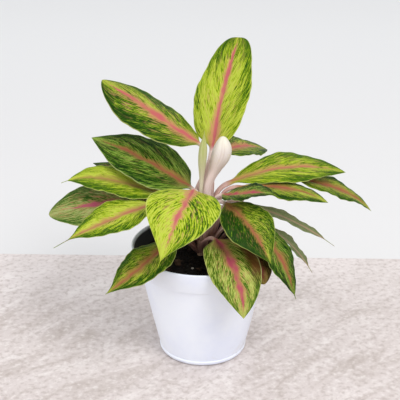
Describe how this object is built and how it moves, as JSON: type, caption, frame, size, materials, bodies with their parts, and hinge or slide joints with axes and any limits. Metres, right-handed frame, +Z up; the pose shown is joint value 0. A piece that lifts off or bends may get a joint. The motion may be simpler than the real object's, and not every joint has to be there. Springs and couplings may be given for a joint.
{
  "type": "potted chinese evergreen",
  "caption": "Potted foliage plant: a clump of broad variegated leaves and two flower spathes on a short cane, standing in soil in a tapered round plastic pot with a deep collar.",
  "frame": {"origin": "middle of the pot's flat underside", "axes": "+Z up out of the pot, -Y towards the front of the plant, +X to its right as seen from the front"},
  "size_m": [0.3361, 0.2285, 0.3203],
  "materials": {
    "pot": "smooth white moulded plastic, satin gloss",
    "soil": "matte dark potting soil",
    "stem": "smooth ringed cane, pinkish brown",
    "spathe_white": "waxy ivory spathe",
    "spathe_green": "waxy pale green spathe",
    "leaf_lime": "waxy leaf, lime with dark green streaks and a pink midrib",
    "leaf_dark": "waxy leaf, dark green with lime streaks and a pink midrib"
  },
  "bodies": {
    "root": {"pot": "pot", "soil": "soil", "stem": "stem", "spathe_white": "spathe_white", "spathe_green": "spathe_green", "leaf_crown": "leaf_lime", "leaf_upper_left": "leaf_dark", "leaf_upper_right": "leaf_dark", "leaf_left_dark": "leaf_dark", "leaf_left_back": "leaf_dark", "leaf_left_middle": "leaf_lime", "leaf_left_low": "leaf_dark", "leaf_left_front": "leaf_lime", "leaf_front": "leaf_lime", "leaf_rim_left": "leaf_dark", "leaf_rim_right": "leaf_lime", "leaf_rim_shaded": "leaf_dark", "leaf_right_front": "leaf_dark", "leaf_right_low": "leaf_dark", "leaf_right_small": "leaf_dark", "leaf_right_inner": "leaf_dark", "leaf_right_long": "leaf_lime", "leaf_right_behind": "leaf_dark", "leaf_right_upper": "leaf_lime", "leaf_right_narrow": "leaf_dark", "leaf_back_left": "leaf_dark", "leaf_back": "leaf_dark", "leaf_back_right": "leaf_dark"}
  },
  "joints": []
}
